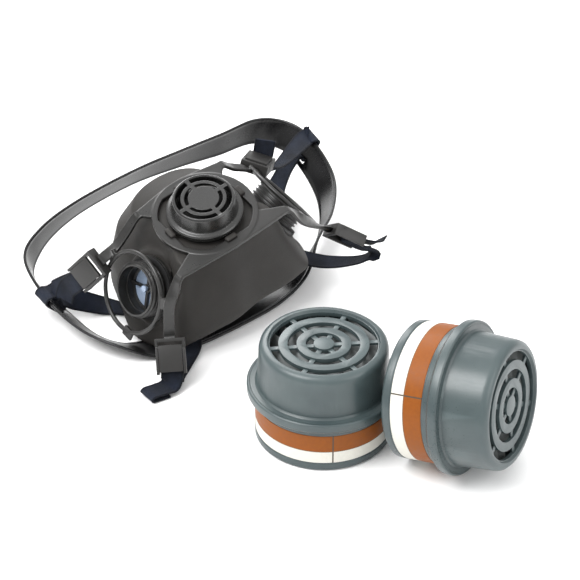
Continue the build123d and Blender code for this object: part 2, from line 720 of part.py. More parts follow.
def filter_retainer():
    """The ring that holds the pleated pack and the screen down."""
    return single(ring(BASE_R - SHELL_WALL - MEDIA_CLEAR, CAP_R - SHELL_WALL - 0.9,
                       BED_HIGH + 1.2, SEAT_LEVEL + 3.4))


def grille_cover():
    """The cap with its ring grille, seated in the flange of the housing."""
    wall = SHELL_WALL
    top = CARTRIDGE_HEIGHT
    lip = FLANGE_R - wall - 0.1
    body = turned([
        (lip, SEAT_LEVEL + 0.05), (lip, FLANGE_TOP), (CAP_R + 1.2, FLANGE_TOP), (CAP_R, FLANGE_TOP + 1.2),
        (CAP_R - 1.4, top - 5.0), (CAP_R - 2.0, top - 2.4), (CAP_R - 3.6, top - 0.6), (CAP_R - 5.6, top),
        (CAP_R - 7.0, top), (CAP_R - 7.8, top - 1.6), (0, top - 1.6), (0, top - 4.4),
        (CAP_R - 0.8 - wall, top - 4.4), (CAP_R - wall, SEAT_LEVEL + 4.0), (CAP_R - wall, SEAT_LEVEL + 3.6),
        (BASE_R - wall, SEAT_LEVEL + 3.6), (BASE_R - wall, SEAT_LEVEL + 0.05),
    ])
    spokes = [Rotation(0, 0, 30 + 60 * k) * Pos(0, 0, top - 6 - SPOKE_DROP) * Box(90, CAP_SPOKE, 9)
              for k in range(3)]
    slots = [ring(outer, inner, top - 6, top).cut(*spokes) for inner, outer in CAP_SLOTS]
    return single(body.cut(*slots))


def label():
    return single(ring(BASE_R - 0.4 + LABEL_THICK, BASE_R - 0.4, LABEL_LOW, LABEL_HIGH))


def socket_gasket():
    return single(ring(SOCKET_R + 0.3, SOCKET_R - 3.6, GASKET_LEVEL + 0.2, SOCKET_DEPTH - 0.02))


CARTRIDGE_PARTS = {
    "housing": cartridge_housing,
    "socket_gasket": socket_gasket,
    "support_grid": support_grid,
    "carbon_bed": carbon_bed,
    "retaining_screen": retaining_screen,
    "filter_retainer": filter_retainer,
    "particulate_filter": particulate_filter,
    "grille_cover": grille_cover,
    "label": label,
}


def lying_place():
    """A cartridge on its side, on the rims of its base and flange."""
    tilt = atan2(FLANGE_R - BASE_R, BASE_HEIGHT)
    height = BASE_R * cos(tilt) - EDGE_ROUND * sin(tilt)
    heading = radians(LYING_HEADING)
    axis = Vector(cos(heading) * cos(tilt), sin(heading) * cos(tilt), sin(tilt))
    return Plane(origin=(*LYING_BASE, height), x_dir=Vector(0, 0, 1).cross(axis), z_dir=axis).location


CARTRIDGES = {"left": Location(UPRIGHT_CENTRE), "right": lying_place()}


# ================================================================ the whole object
def build():
    """Every node by name, in the table frame, centred over the origin."""
    nodes = {
        "facepiece": MASK * facepiece(),
        "harness_frame": MASK * harness_frame(),
        "exhalation_valve_seat": MASK * exhalation_valve_seat(),
        "exhalation_valve_disc": MASK * exhalation_valve_disc(),
        "exhalation_valve_cover": MASK * exhalation_valve_cover(),
        "head_cradle": head_cradle(),
        "left_strap": left_strap(),
        "right_strap": right_strap(),
    }
    for name, side in (("left", -1), ("right", 1)):
        place = MASK * port_place(side)
        nodes[f"port_connector_{name}"] = place * port_connector()
        nodes[f"port_nut_{name}"] = place * port_nut()
        nodes[f"port_gasket_{name}"] = place * port_gasket()
        nodes[f"inhalation_valve_disc_{name}"] = place * inhalation_valve_disc()
    for name in BUCKLES:
        place = MASK * buckle_place(name)
        nodes[f"buckle_frame_{name}"] = single(place * buckle_frame() - nodes["harness_frame"])
        nodes[f"buckle_lever_{name}"] = place * buckle_lever()
    for name, place in CARTRIDGES.items():
        for piece, make in CARTRIDGE_PARTS.items():
            nodes[f"cartridge_{name}_{piece}"] = place * make()
    return nodes


def centring(nodes):
    """The move that puts the middle of the model's box over the origin, at table level."""
    box = Compound([s for shape in nodes.values() for s in shape.solids()]).bounding_box()
    middle = box.center()
    return Vector(-middle.X, -middle.Y, -box.min.Z)


def main():
    os.makedirs("parts", exist_ok=True)
    nodes = build()
    shift = centring(nodes)
    print("origin shift", shift)
    for name, shape in nodes.items():
        export_step(Pos(*shift) * shape, f"parts/{name}.step")
    return nodes, shift


if __name__ == "__main__":
    main()
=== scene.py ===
import json
import math
import bmesh
import bpy
import numpy as np
from mathutils import Matrix, Vector

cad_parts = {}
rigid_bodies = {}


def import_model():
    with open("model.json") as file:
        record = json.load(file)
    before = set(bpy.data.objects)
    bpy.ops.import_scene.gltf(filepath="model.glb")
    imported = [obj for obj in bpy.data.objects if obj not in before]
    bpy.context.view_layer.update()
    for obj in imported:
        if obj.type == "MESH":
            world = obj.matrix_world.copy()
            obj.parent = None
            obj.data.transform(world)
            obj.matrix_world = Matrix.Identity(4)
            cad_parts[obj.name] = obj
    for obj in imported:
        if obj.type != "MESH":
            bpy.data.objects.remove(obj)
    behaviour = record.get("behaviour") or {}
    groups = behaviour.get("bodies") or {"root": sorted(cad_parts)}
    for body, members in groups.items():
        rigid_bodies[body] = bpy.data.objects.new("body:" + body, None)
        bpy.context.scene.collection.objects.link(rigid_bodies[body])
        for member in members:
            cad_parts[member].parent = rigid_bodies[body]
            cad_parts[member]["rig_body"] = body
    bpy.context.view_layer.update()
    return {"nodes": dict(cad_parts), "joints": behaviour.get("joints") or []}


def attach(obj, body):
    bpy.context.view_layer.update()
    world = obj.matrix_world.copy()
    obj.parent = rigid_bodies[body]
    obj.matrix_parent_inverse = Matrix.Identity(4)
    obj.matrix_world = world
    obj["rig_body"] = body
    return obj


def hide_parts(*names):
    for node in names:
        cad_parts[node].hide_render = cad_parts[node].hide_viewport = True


for extra in list(bpy.data.objects):
    bpy.data.objects.remove(extra)
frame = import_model()
NODES = frame["nodes"]
MM = 0.001
MOST_TRIANGLES = 180_000     # in one remeshed piece

# ---------------------------------------------------------------- the CAD part's own dimensions (mm)
MASK_CENTRE = (-73.1, -2.3, 93.4)
MASK_PITCH = 13.0
MASK_ROLL = -12.5
PORT_RIM = (63.9, -2.0, -30.8)
CROSS_BAR_Y = 3.6
LEVER_PIVOT_Y = -6.0
LEVER_PIVOT_Z = 3.6
STRAP_WIDTH = 15.0
STRAP_THICK = 1.3
STRAP_RUN = 2.35
STRAP_TURN = 2.35
BAND_THICK = 2.2
BAND_WIDTH = 23.0
SLOT_WIDTH = 18.0
SLOT_HEIGHT = 4.4
BASE_R = 44.5
FLANGE_R = 49.5
BASE_HEIGHT = 33.0
EDGE_ROUND = 1.5
LABEL_LOW, LABEL_HIGH = 6.5, 27.6
LABEL_THICK = 0.25
LABEL_R = BASE_R - 0.4
LABEL_SPLIT = 0.42           # share of the label's height that is white
LABEL_RULE = 0.012           # half the height of the rule between the two bands, as a share
LABEL_PANELS = 4             # divider lines round the label
LABEL_DIVIDER_AT = 46.8      # along the wrap, within each panel
LABEL_DIVIDER_HALF = 0.45
UPRIGHT_CENTRE = (-79.0, -143.0, 0.0)
LYING_BASE = (-42.4, -188.1)
LYING_HEADING = -65.0

# Each buckle: centre, direction from arm to strap, outward direction (mask frame).
BUCKLES = {
    "upper_left": ((-75.8, 34.1, -33.7), (-0.57, 0.36, -0.74), (-0.82, -0.33, 0.47)),
    "lower_left": ((-70.5, -50.5, -49.0), (-0.45, -0.65, -0.62), (-0.36, -0.50, 0.79)),
    "upper_right": ((71.0, 37.0, -34.5), (0.67, 0.52, -0.52), (0.51, 0.19, 0.84)),
    "lower_right": ((87.0, -41.0, -54.5), (0.62, -0.55, -0.56), (0.78, 0.47, 0.40)),
}
# Head cradle: centre x, y, z and lean outwards from upright in degrees, anticlockwise from the left end.
BAND_ROWS = [
    (-151.0, 108.0, 20.0, 15.0), (-153.0, 72.0, 12.0, 42.0), (-151.0, 32.0, 8.8, 48.0),
    (-140.0, 6.0, 7.4, 58.0), (-120.0, -5.0, 2.2, 88.0), (-92.0, -9.0, 2.0, 88.0),
    (-55.0, -7.0, 2.0, 88.0), (-20.0, -3.0, 2.8, 84.0), (8.0, 4.0, 6.6, 66.0),
    (32.0, 16.0, 14.5, 25.0), (59.0, 35.0, 19.0, 26.0), (79.0, 62.0, 27.0, 34.0),
    (87.0, 95.0, 37.0, 34.0), (86.0, 120.0, 42.0, 24.0), (70.0, 140.0, 43.0, -6.0),
    (37.0, 141.0, 42.0, -15.0), (2.0, 143.0, 41.0, -25.0), (-40.0, 145.0, 38.0, -30.0),
    (-93.0, 138.0, 34.0, -25.0), (-130.0, 126.0, 28.0, -8.0),
]
BAND_STEPS = 4
BAND_FINE_STEPS = 12
BAND_UV_SPAN = 760.0         # how far U runs round the band; the band itself is 676 mm round
LEFT_LOOP_AT = 1.0
RIGHT_LOOP_AT = 12.25

# Straps: centre x, y, z and the direction across the webbing.
LEFT_TAIL_UPPER = [(-154.0, 55.0, 24.0, -0.2, 0.75, 0.6), (-152.0, 53.5, 33.0, -0.2, 0.75, 0.6)]
LEFT_TO_LOOP = [(-151.0, 60.0, 31.0, -0.1, 0.9, 0.4)]
LEFT_UNDER = [
    (-136.0, 66.0, 10.0, 0.15, 0.6, 0.75), (-123.0, 59.0, 4.6, 0.4, 0.75, 0.5),
    (-110.0, 49.0, 1.4, 0.6, 0.8, 0.0), (-96.0, 28.0, 1.4, 0.85, 0.5, 0.0),
    (-92.0, 6.0, 4.6, 0.98, -0.1, 0.0), (-98.0, -18.0, 5.2, 0.85, -0.5, 0.0),
    (-113.0, -30.0, 2.6, 0.74, -0.67, 0.0), (-125.5, -38.5, 1.4, 0.83, -0.56, 0.0),
    (-130.0, -43.5, 1.5, 0.83, -0.56, 0.06), (-131.0, -45.0, 3.2, 0.83, -0.56, 0.06),
]
LEFT_TAIL_LOWER = [
    (-137.0, -49.5, 5.0, 0.5, -0.86, 0.0), (-145.0, -49.0, 4.4, 0.1, -0.99, 0.0),
    (-152.0, -48.5, 4.6, 0.0, -1.0, 0.0), (-154.5, -48.5, 2.8, 0.0, -1.0, 0.0),
    (-151.0, -48.5, 1.3, 0.0, -1.0, 0.0), (-140.0, -49.5, 1.3, 0.1, -0.99, 0.0),
]
RIGHT_TAIL_UPPER = [(14.0, 48.0, 97.0, 0.8, -0.6, 0.0)]
RIGHT_TO_LOOP = [(22.0, 62.0, 64.0, 0.7, -0.6, 0.2), (44.0, 76.0, 50.0, 0.5, -0.7, 0.4)]
RIGHT_UNDER = [
    (66.0, 99.0, 26.0, 0.0, -1.0, 0.0), (50.0, 87.0, 20.0, 0.4, -0.9, 0.0),
    (32.0, 63.0, 15.0, 0.65, -0.75, 0.0), (17.0, 38.0, 17.0, 0.8, -0.6, 0.0),
    (9.0, 12.0, 22.5, 0.95, -0.3, 0.0), (20.0, -12.0, 23.0, 0.85, 0.5, 0.1),
    (37.0, -30.0, 27.0, 0.5, 0.8, -0.2), (45.0, -37.0, 34.0, 0.1, 0.83, -0.54),
]
RIGHT_TAIL_LOWER = [
    (44.5, -37.2, 42.6, -0.1, -0.82, 0.57), (50.0, -37.0, 41.0, -0.1, -0.8, 0.6),
    (54.0, -35.6, 41.6, -0.1, -0.8, 0.6),
]


# ================================================================ placing
def unit(v):
    v = np.asarray(v, float)
    return v / np.linalg.norm(v)


def turn(axis, degrees):
    return np.array(Matrix.Rotation(math.radians(degrees), 3, axis))


MASK_TURN = turn("Y", MASK_ROLL) @ turn("X", MASK_PITCH)


def mask_point(p):
    return np.array(MASK_CENTRE) + MASK_TURN @ np.asarray(p, float)


def buckle_frame(name):
    """Origin and x, y, z directions of a buckle on the table, before the centring shift."""
    centre, along, out = BUCKLES[name]
    y = unit(along)
    x = unit(np.cross(y, out))
    z = np.cross(x, y)
    return mask_point(centre), MASK_TURN @ x, MASK_TURN @ y, MASK_TURN @ z


def lever_pivot():
    origin, x, y, z = buckle_frame("upper_left")
    return origin + y * LEVER_PIVOT_Y + z * LEVER_PIVOT_Z


HINGE = [j for j in frame["joints"] if j["name"] == "buckle_lever_upper_left_hinge"][0]
SHIFT = np.array(HINGE["pos_m"]) / MM - lever_pivot()


def smooth(points, steps, closed=False):
    """Points on a Catmull-Rom curve through rows of numbers, steps to each span."""
    rows = np.asarray(points, float)
    count = len(rows)
    out = []
    for i in range(count if closed else count - 1):
        if closed:
            a, b, c, d = (rows[(i + k) % count] for k in (-1, 0, 1, 2))
        else:
            a, b, c, d = (rows[min(max(i + k, 0), count - 1)] for k in (-1, 0, 1, 2))
        for s in range(steps):
            t = s / steps
            out.append(0.5 * (2 * b + (c - a) * t + (2 * a - 5 * b + 4 * c - d) * t ** 2
                              + (3 * b - a - 3 * c + d) * t ** 3))
    if not closed:
        out.append(rows[-1])
    return np.array(out)


# ================================================================ node helpers
class Nodes:
    """A short way to write a material's node tree."""

    def __init__(self, name):
        self.mat = bpy.data.materials.new(name)
        self.mat.use_nodes = True
        self.tree = self.mat.node_tree
        self.shader = self.tree.nodes["Principled BSDF"]

    def add(self, kind, inputs=None, **settings):
        node = self.tree.nodes.new(kind)
        for key, value in settings.items():
            setattr(node, key, value)
        for key, value in (inputs or {}).items():
            self.put(node.inputs[key], value)
        return node

    def put(self, socket, value):
        if isinstance(value, bpy.types.NodeSocket):
            self.tree.links.new(value, socket)
        else:
            socket.default_value = value

    def math(self, operation, a, b=0.0, c=0.0):
        node = self.add("ShaderNodeMath", {0: a, 1: b, 2: c}, operation=operation)
        return node.outputs[0]

    def noise(self, scale, detail=3.0, rough=0.55, vector=None):
        if vector is None:
            vector = self.add("ShaderNodeTexCoord").outputs["Object"]
        node = self.add("ShaderNodeTexNoise", {
            "Vector": vector, "Scale": scale, "Detail": detail, "Roughness": rough})
        return node.outputs["Fac"]

    def remap(self, value, low, high, to_low, to_high):
        node = self.add("ShaderNodeMapRange", {
            "Value": value, "From Min": low, "From Max": high, "To Min": to_low, "To Max": to_high})
        return node.outputs["Result"]

    def mix(self, fac, a, b):
        node = self.add("ShaderNodeMix", data_type="RGBA")
        self.put(node.inputs[0], fac)
        self.put(node.inputs[6], a)
        self.put(node.inputs[7], b)
        return node.outputs[2]

    def bump(self, height, strength, distance, normal=None):
        node = self.add("ShaderNodeBump", {"Height": height, "Strength": strength, "Distance": distance})
        if normal is not None:
            self.put(node.inputs["Normal"], normal)
        return node.outputs["Normal"]

    def set(self, **values):
        names = {"color": "Base Color", "rough": "Roughness", "normal": "Normal", "sheen": "Sheen Weight",
                 "sheen_rough": "Sheen Roughness", "specular": "Specular IOR Level", "coat": "Coat Weight",
                 "coat_rough": "Coat Roughness", "metal": "Metallic", "transmission": "Transmission Weight",
                 "subsurface": "Subsurface Weight"}
        for key, value in values.items():
            self.put(self.shader.inputs[names[key]], value)
        return self.mat


def rgb(r, g, b, a=1.0):
    """A colour given as ordinary 0-255 values."""
    lin = [(c / 255 / 12.92) if c <= 10 else ((c / 255 + 0.055) / 1.055) ** 2.4 for c in (r, g, b)]
    return (*lin, a)


def moulded(name, dark, light, rough, grain=900.0, depth=0.00004, specular=0.4, edge_highlight=0.35, coat=0.0,
            vary=0.05):
    """Moulded rubber or plastic: fine grain, soft patches, and a painted highlight that makes sharp edges
    paler. depth is the grain's, in metres, and vary is how far the grain moves the roughness."""
    n = Nodes(name)
    fine = n.noise(grain, 4.0)
    patch = n.noise(38.0, 3.0)
    cloud = n.noise(9.0, 2.0)
    base = n.mix(n.remap(patch, 0.3, 0.7, 0.0, 1.0), dark, light)
    # Painted highlight: edges with high pointiness are painted paler, in place of light catching them; the
    # amount is set per material.
    edge = n.add("ShaderNodeNewGeometry").outputs["Pointiness"]
    wear_and_edge_highlight = n.remap(edge, 0.51, 0.58, 0.0, edge_highlight)
    highlight_tint = tuple(min(1.0, c * 1.9 + 0.02) for c in light[:3]) + (1.0,)
    color = n.mix(wear_and_edge_highlight, base, highlight_tint)
    blend = n.math("ADD", n.remap(cloud, 0.3, 0.7, -0.06, 0.06), rough)
    roughness = n.math("ADD", n.remap(fine, 0.3, 0.7, -vary, vary), blend)
    return n.set(color=color, rough=roughness, specular=specular, coat=coat, coat_rough=0.25,
                 normal=n.bump(fine, 0.5, depth, n.bump(patch, 0.25, 0.0002)))


def woven(name, dark, light, rib_pitch=1.25, weft_pitch=0.95):
    """Elastic webbing: ribs along the length, weft across them, a plain selvedge. UV in millimetres."""
    n = Nodes(name)
    uv = n.add("ShaderNodeSeparateXYZ", {0: n.add("ShaderNodeUVMap", uv_map="cloth").outputs[0]})
    along, across = uv.outputs[0], uv.outputs[1]
    ribs = n.math("SINE", n.math("MULTIPLY", across, 2 * math.pi / rib_pitch))
    weft = n.math("SINE", n.math("MULTIPLY", along, 2 * math.pi / weft_pitch))
    shifted = n.math("SINE", n.math("MULTIPLY_ADD", along, 2 * math.pi / weft_pitch, math.pi))
    odd = n.math("GREATER_THAN", ribs, 0.0)
    even = n.math("SUBTRACT", 1.0, odd)
    pick = n.math("ADD", n.math("MULTIPLY", odd, weft), n.math("MULTIPLY", even, shifted))
    height = n.math("MULTIPLY_ADD", n.math("ABSOLUTE", ribs), 0.8, n.math("MULTIPLY", pick, 0.5))
    fuzz = n.noise(1500.0, 3.0)
    wear_and_edge_highlight = n.noise(60.0, 3.0)
    # Painted shade and highlight: the colour is darker in the grooves and paler on the raised ribs and weft,
    # following the bump height; the fuzz noise adds random tone.
    tone = n.math("MULTIPLY_ADD", fuzz, 0.45, n.remap(height, -0.5, 1.3, -0.1, 0.7))
    tone = n.math("ADD", n.remap(wear_and_edge_highlight, 0.35, 0.65, -0.3, 0.25), tone)
    selvedge = n.math("GREATER_THAN", n.math("ABSOLUTE", across), STRAP_WIDTH / 2 - 1.5)
    color = n.mix(n.math("MULTIPLY", selvedge, 0.55), n.mix(tone, dark, light), dark)
    bump = n.bump(height, 1.0, 0.00028, n.bump(fuzz, 0.35, 0.0001))
    return n.set(color=color, rough=0.75, specular=0.16, sheen=0.04, sheen_rough=0.35, normal=bump)


def printed_label(name):
    """A paper label: orange above white, with divider lines. UV: x along the wrap in mm, y up from 0 to 1."""
    n = Nodes(name)
    uv = n.add("ShaderNodeSeparateXYZ", {0: n.add("ShaderNodeUVMap", uv_map="cloth").outputs[0]})
    along, up = uv.outputs[0], uv.outputs[1]
    is_orange = n.math("GREATER_THAN", up, LABEL_SPLIT)
    fibre = n.noise(420.0, 4.0)
    orange = n.mix(fibre, rgb(118, 60, 2), rgb(138, 74, 8))
    white = n.mix(fibre, rgb(196, 194, 186), rgb(214, 212, 203))
    color = n.mix(is_orange, white, orange)
    cell = n.math("FLOORED_MODULO", along, 2 * math.pi * LABEL_R / LABEL_PANELS)
    from_divider = n.math("ABSOLUTE", n.math("SUBTRACT", cell, LABEL_DIVIDER_AT))
    line = n.math("LESS_THAN", from_divider, LABEL_DIVIDER_HALF)
    color = n.mix(line, color, rgb(70, 62, 52))
    rule = n.math("LESS_THAN", n.math("ABSOLUTE", n.math("SUBTRACT", up, LABEL_SPLIT)), LABEL_RULE)
    color = n.mix(rule, color, rgb(96, 70, 44))
    scuff = n.math("GREATER_THAN", n.noise(130.0, 6.0, 0.7), 0.73)
    color = n.mix(n.math("MULTIPLY", scuff, 0.35), color, rgb(205, 200, 190))
    return n.set(color=color, rough=n.remap(fibre, 0.3, 0.7, 0.42, 0.56), specular=0.25,
                 normal=n.bump(fibre, 0.2, 0.00005))


# ================================================================ piece helpers
def mesh_object(name, vertices, faces, uv=None):
    mesh = bpy.data.meshes.new(name)
    mesh.from_pydata([tuple(v) for v in vertices], [], faces)
    if uv is not None:
        layer = mesh.uv_layers.new(name="cloth")
        for loop in mesh.loops:
            layer.data[loop.index].uv = uv[loop.vertex_index]
    mesh.validate()
    obj = bpy.data.objects.new(name, mesh)
    bpy.context.scene.collection.objects.link(obj)
    return obj


def shade(obj, angle=None):
    for polygon in obj.data.polygons:
        polygon.use_smooth = True
    if angle is not None:
        bpy.context.view_layer.objects.active = obj
        obj.select_set(True)
        bpy.ops.object.shade_smooth_by_angle(angle=math.radians(angle))
        obj.select_set(False)


def recalculated(obj):
    bm = bmesh.new()
    bm.from_mesh(obj.data)
    bmesh.ops.recalc_face_normals(bm, faces=bm.faces)
    bm.to_mesh(obj.data)
    bm.free()


def swept(name, centres, sides, normals, profile, closed=False, along_mm=None):
    """A tube of one cross-section (across, out) in mm along stations on the table."""
    count = len(centres)
    ring = len(profile)
    if along_mm is None:
        steps = np.linalg.norm(np.diff(centres, axis=0), axis=1)
        along_mm = np.concatenate([[0.0], np.cumsum(steps)])
    vertices, uv = [], []
    for i in range(count):
        for across, out in profile:
            vertices.append((centres[i] + sides[i] * across + normals[i] * out + SHIFT) * MM)
            uv.append((along_mm[i], across))
    faces = []
    for i in range(count if closed else count - 1):
        a, b = i * ring, ((i + 1) % count) * ring
        for k in range(ring):
            m = (k + 1) % ring
            faces.append((a + k, a + m, b + m, b + k))
    if not closed:
        faces.append(tuple(range(ring))[::-1])
        faces.append(tuple((count - 1) * ring + k for k in range(ring)))
    obj = mesh_object(name, vertices, faces, uv)
    recalculated(obj)
    return obj


def applied(obj):
    """The object with its modifiers made part of its mesh."""
    graph = bpy.context.evaluated_depsgraph_get()
    mesh = bpy.data.meshes.new_from_object(obj.evaluated_get(graph))
    obj.modifiers.clear()
    obj.data = mesh
    return obj


def cad_copy(node, name):
    """A free copy of a CAD node's mesh, welded."""
    obj = bpy.data.objects.new(name, NODES[node].data.copy())
    bpy.context.scene.collection.objects.link(obj)
    bm = bmesh.new()
    bm.from_mesh(obj.data)
    bmesh.ops.remove_doubles(bm, verts=bm.verts, dist=0.000004)
    bmesh.ops.dissolve_limit(bm, angle_limit=math.radians(0.6), verts=bm.verts, edges=bm.edges)
    bm.to_mesh(obj.data)
    bm.free()
    obj.data.materials.clear()
    return obj


def finish_piece(obj, node, material):
    obj.data.materials.clear()
    obj.data.materials.append(material)
    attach(obj, NODES[node]["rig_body"])
    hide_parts(node)
    return obj


def rounded_copy(node, material, width, segments=2, angle=32):
    """A CAD part with small moulded radii on its edges."""
    obj = cad_copy(node, node + "_moulded")
    bevel = obj.modifiers.new("edge", "BEVEL")
    bevel.width = width * MM
    bevel.segments = segments
    bevel.limit_method = "ANGLE"
    bevel.angle_limit = math.radians(angle)
    bevel.use_clamp_overlap = True
    bevel.harden_normals = False
    applied(obj)
    shade(obj, 40)
    return finish_piece(obj, node, material)


def remeshed_copy(node, material, voxel, rounds, factor=0.5, panels=()):
    """A soft moulded copy of a CAD part: remeshed finely in the mask's frame and eased, so that its edges are
    rounded. panels are (weight of a point in that frame, rounds) for stretches that are eased further."""
    obj = cad_copy(node, node + "_moulded")
    upright = Matrix(MASK_TURN.T.tolist()).to_4x4()
    obj.data.transform(upright)
    remesh = obj.modifiers.new("voxels", "REMESH")
    remesh.mode = "VOXEL"
    remesh.voxel_size = voxel * MM
    remesh.use_smooth_shade = True
    ease = obj.modifiers.new("ease", "SMOOTH")
    ease.factor = factor
    ease.iterations = rounds
    applied(obj)
    obj.data.transform(upright.inverted())
    for weight, more in panels:
        points = np.empty(len(obj.data.vertices) * 3, np.float32)
        obj.data.vertices.foreach_get("co", points)
        local = (points.reshape(-1, 3) / MM - SHIFT - np.array(MASK_CENTRE)) @ MASK_TURN
        group = obj.vertex_groups.new(name="panel")
        for index, value in enumerate(weight(local[:, 0], local[:, 1], local[:, 2])):
            if value > 0.01:
                group.add([index], float(value), "REPLACE")
        extra = obj.modifiers.new("panel", "SMOOTH")
        extra.factor = 0.5
        extra.iterations = more
        extra.vertex_group = "panel"
        applied(obj)
        obj.vertex_groups.clear()
    triangles = 2 * len(obj.data.polygons)
    if triangles > MOST_TRIANGLES:
        thin = obj.modifiers.new("thin", "DECIMATE")
        thin.ratio = MOST_TRIANGLES / triangles
        applied(obj)
    shade(obj)
    return finish_piece(obj, node, material)


def step(value, start, end):
    """0 at start, 1 at end, smooth between."""
    t = np.clip((value - start) / (end - start), 0.0, 1.0)
    return t * t * (3 - 2 * t)


# ================================================================ materials
RUBBER = moulded("facepiece_rubber", rgb(34, 32, 30), rgb(41, 39, 37), 0.6, grain=1400.0, specular=0.28,
                 edge_highlight=0.1)
FRAME_PLASTIC = moulded("frame_plastic", rgb(22, 22, 21), rgb(30, 29, 28), 0.36, depth=0.000012,
                        specular=0.42, edge_highlight=0.5, coat=0.1)
VALVE_PLASTIC = moulded("valve_plastic", rgb(25, 25, 25), rgb(31, 31, 30), 0.26, depth=0.000001,
                        specular=0.5, edge_highlight=0.0, coat=0.3, vary=0.01)
PORT_PLASTIC = moulded("port_plastic", rgb(20, 20, 19), rgb(27, 26, 25), 0.34, depth=0.00001,
                       specular=0.45, edge_highlight=0.3)
BUCKLE_PLASTIC = moulded("buckle_plastic", rgb(21, 21, 20), rgb(28, 27, 26), 0.4, depth=0.00002,
                         specular=0.42, edge_highlight=0.4)
GASKET = moulded("gasket_rubber", rgb(20, 20, 20), rgb(26, 26, 26), 0.7, specular=0.3, edge_highlight=0.1)
CRADLE = moulded("cradle_plastic", rgb(13, 13, 14), rgb(19, 19, 20), 0.26, depth=0.000002,
                 specular=0.32, edge_highlight=0.1, coat=0.08, vary=0.015)
SHELL = moulded("cartridge_plastic", rgb(54, 65, 67), rgb(65, 76, 77), 0.34, depth=0.000012,
                specular=0.5, edge_highlight=0.25)
GRID = moulded("grid_plastic", rgb(170, 172, 172), rgb(188, 190, 190), 0.55)
CARBON = moulded("carbon", rgb(16, 16, 16), rgb(34, 34, 34), 0.85, grain=700.0, depth=0.0004)
# Filter paper: pale grey, painted darker than the paper itself as painted shade for the shadowed gaps behind
# the grille.
PAPER = moulded("filter_paper", rgb(126, 130, 130), rgb(156, 160, 160), 0.88, grain=1800.0,
                depth=0.00006, edge_highlight=0.0)
MEMBRANE = moulded("valve_membrane", rgb(120, 136, 158), rgb(148, 162, 182), 0.3, specular=0.5, edge_highlight=0.1)
WEBBING = woven("strap_webbing", rgb(2, 3, 5), rgb(36, 42, 56))
LABEL = printed_label("label_print")


# ================================================================ facepiece
def chin_panel(x, y, z):
    """The broad front panel under the mouth."""
    return step(y, -22.0, -32.0) * step(np.abs(x), 62.0, 44.0) * step(z, -84.0, -68.0) * step(z, -4.0, -12.0)


def cheeks(x, y, z):
    """The skin between the frame and the face lip, away from the ports."""
    px, py, pz = PORT_RIM
    reach = np.sqrt((np.abs(x) - px) ** 2 + (y - py) ** 2 + (z - pz) ** 2)
    towards_nose = 1.0 - 0.75 * step(y, 14.0, 34.0)
    return step(z, -86.0, -74.0) * step(z, -6.0, -16.0) * step(reach, 27.0, 36.0) * towards_nose


remeshed_copy("facepiece", RUBBER, 0.9, 9,
              panels=[(chin_panel, 420), (cheeks, 60)])

# ================================================================ moulded plastic parts
remeshed_copy("harness_frame", FRAME_PLASTIC, 0.4, 2)
remeshed_copy("exhalation_valve_cover", VALVE_PLASTIC, 0.22, 8)
rounded_copy("exhalation_valve_seat", VALVE_PLASTIC, 0.2)
for name in BUCKLES:
    rounded_copy(f"buckle_frame_{name}", BUCKLE_PLASTIC, 0.4, 3)
    rounded_copy(f"buckle_lever_{name}", BUCKLE_PLASTIC, 0.4, 3)
for side in ("left", "right"):
    rounded_copy(f"port_connector_{side}", PORT_PLASTIC, 0.2)
    rounded_copy(f"port_nut_{side}", PORT_PLASTIC, 0.3)
    rounded_copy(f"port_gasket_{side}", GASKET, 0.2)
    rounded_copy(f"inhalation_valve_disc_{side}", MEMBRANE, 0.15)
    rounded_copy(f"cartridge_{side}_housing", SHELL, 0.4, 3)
    rounded_copy(f"cartridge_{side}_grille_cover", SHELL, 0.35, 3)
    rounded_copy(f"cartridge_{side}_socket_gasket", GASKET, 0.2)
    rounded_copy(f"cartridge_{side}_filter_retainer", GRID, 0.2)
    rounded_copy(f"cartridge_{side}_support_grid", GRID, 0.1)
    rounded_copy(f"cartridge_{side}_retaining_screen", GRID, 0.1)
    rounded_copy(f"cartridge_{side}_carbon_bed", CARBON, 0.3)
    rounded_copy(f"cartridge_{side}_particulate_filter", PAPER, 0.25, 2, 20)
rounded_copy("exhalation_valve_disc", GASKET, 0.15)

# ================================================================ head cradle
def band_frames(steps):
    """Centres, along, outward and upward directions round the band."""
    fine = smooth(BAND_ROWS, steps, closed=True)
    centres = fine[:, :3]
    along = np.roll(centres, -1, 0) - np.roll(centres, 1, 0)
    along /= np.linalg.norm(along, axis=1)[:, None]
    flat = np.stack([along[:, 1], -along[:, 0], np.zeros(len(fine))], 1)
    flat /= np.linalg.norm(flat, axis=1)[:, None]
    lean = np.radians(fine[:, 3])[:, None]
    up = np.array([[0, 0, 1.0]]) * np.cos(lean) + flat * np.sin(lean)
    up -= along * np.sum(up * along, 1)[:, None]
    up /= np.linalg.norm(up, axis=1)[:, None]
    return centres, along, np.cross(along, up), up


def band_profile():
    """Across the band and through its thickness: round edges and a raised bead along each border."""
    half, thick = BAND_WIDTH / 2, BAND_THICK / 2
    side = [(half, 0.0), (half - 0.15, 0.62), (half - 0.6, 1.0), (half - 1.2, thick), (half - 1.9, 1.0),
            (half - 2.4, 0.74), (half - 4.0, 0.72), (half - 7.5, 0.74)]
    top = side + [(-x, y) for x, y in side[::-1]]
    return top + [(x, -y) for x, y in top[::-1][1:-1]]


def box_cutter(origin, x, y, z, sizes):
    corners = []
    for sx in (-0.5, 0.5):
        for sy in (-0.5, 0.5):
            for sz in (-0.5, 0.5):
                offset = x * sx * sizes[0] + y * sy * sizes[1] + z * sz * sizes[2]
                corners.append((origin + offset + SHIFT) * MM)
    faces = [(0, 1, 3, 2), (4, 6, 7, 5), (0, 4, 5, 1), (2, 3, 7, 6), (0, 2, 6, 4), (1, 5, 7, 3)]
    obj = mesh_object("cutter", corners, faces)
    recalculated(obj)
    return obj


